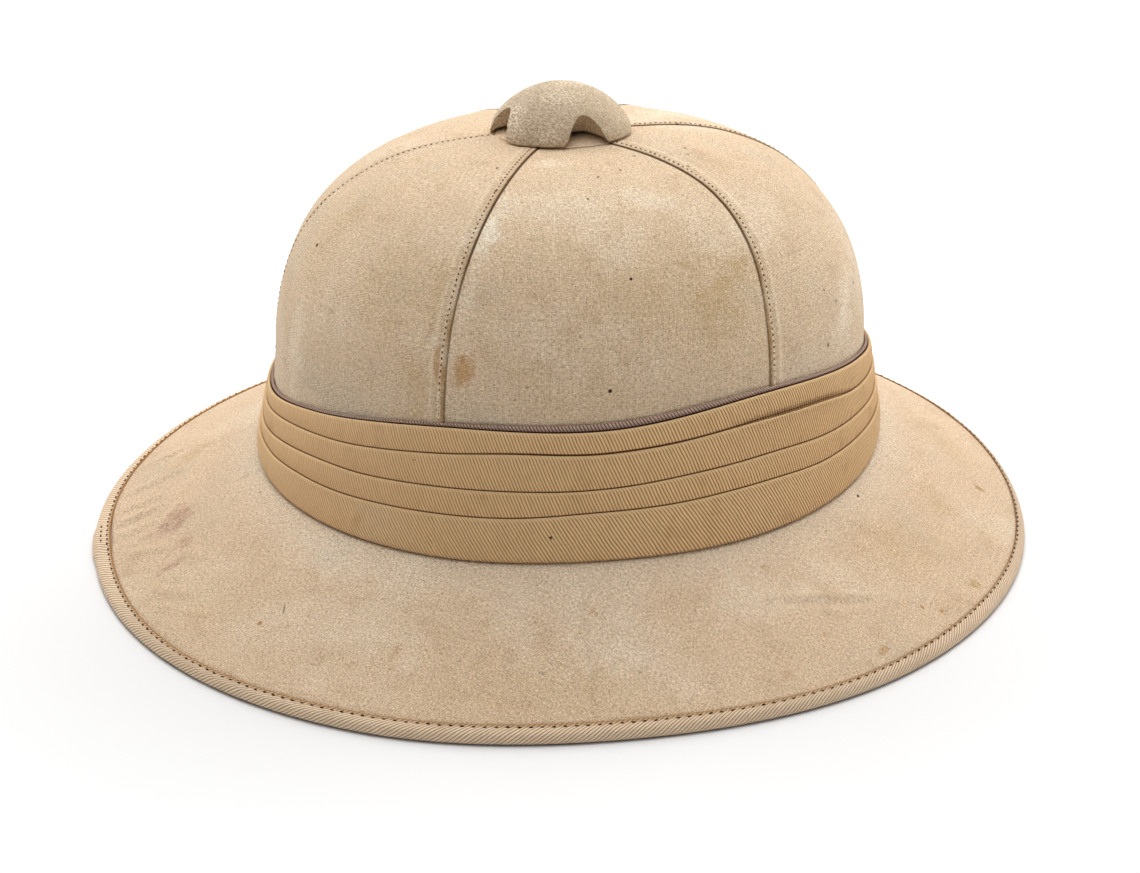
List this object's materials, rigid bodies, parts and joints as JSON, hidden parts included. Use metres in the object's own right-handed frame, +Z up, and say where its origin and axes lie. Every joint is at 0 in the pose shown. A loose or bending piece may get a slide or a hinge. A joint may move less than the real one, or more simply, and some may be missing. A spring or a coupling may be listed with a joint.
{
  "type": "pith helmet",
  "caption": "Cloth-covered pith helmet with a gored crown, a pleated band, a wide sloping bound brim and a small lobed ventilator cap, open below for the head.",
  "frame": {"origin": "centre of the brim's outline, in the plane the rim rests on", "axes": "+Z up through the crown, front of the helmet towards -Y, wearer's left towards +X"},
  "size_m": [0.3122, 0.3284, 0.1489],
  "materials": {
    "pith": "dry pressed pith, matt",
    "crown_cloth": "matt cotton drill, faded",
    "brim_cloth": "matt cotton drill, faded",
    "band_cloth": "matt cotton twill",
    "strip_cloth": "matt twill, dark",
    "binding_cloth": "matt twill tape",
    "vent_cloth": "smooth worn covering"
  },
  "bodies": {
    "root": {"shell": "pith", "crown_gore_1": "crown_cloth", "crown_gore_2": "crown_cloth", "crown_gore_3": "crown_cloth", "crown_gore_4": "crown_cloth", "crown_gore_5": "crown_cloth", "crown_gore_6": "crown_cloth", "brim_cover": "brim_cloth", "band_edge": "strip_cloth", "band_fold_1": "band_cloth", "band_fold_2": "band_cloth", "band_fold_3": "band_cloth", "band_fold_4": "band_cloth", "brim_binding": "binding_cloth", "vent_seat": "vent_cloth", "vent_cap": "vent_cloth"}
  },
  "joints": []
}
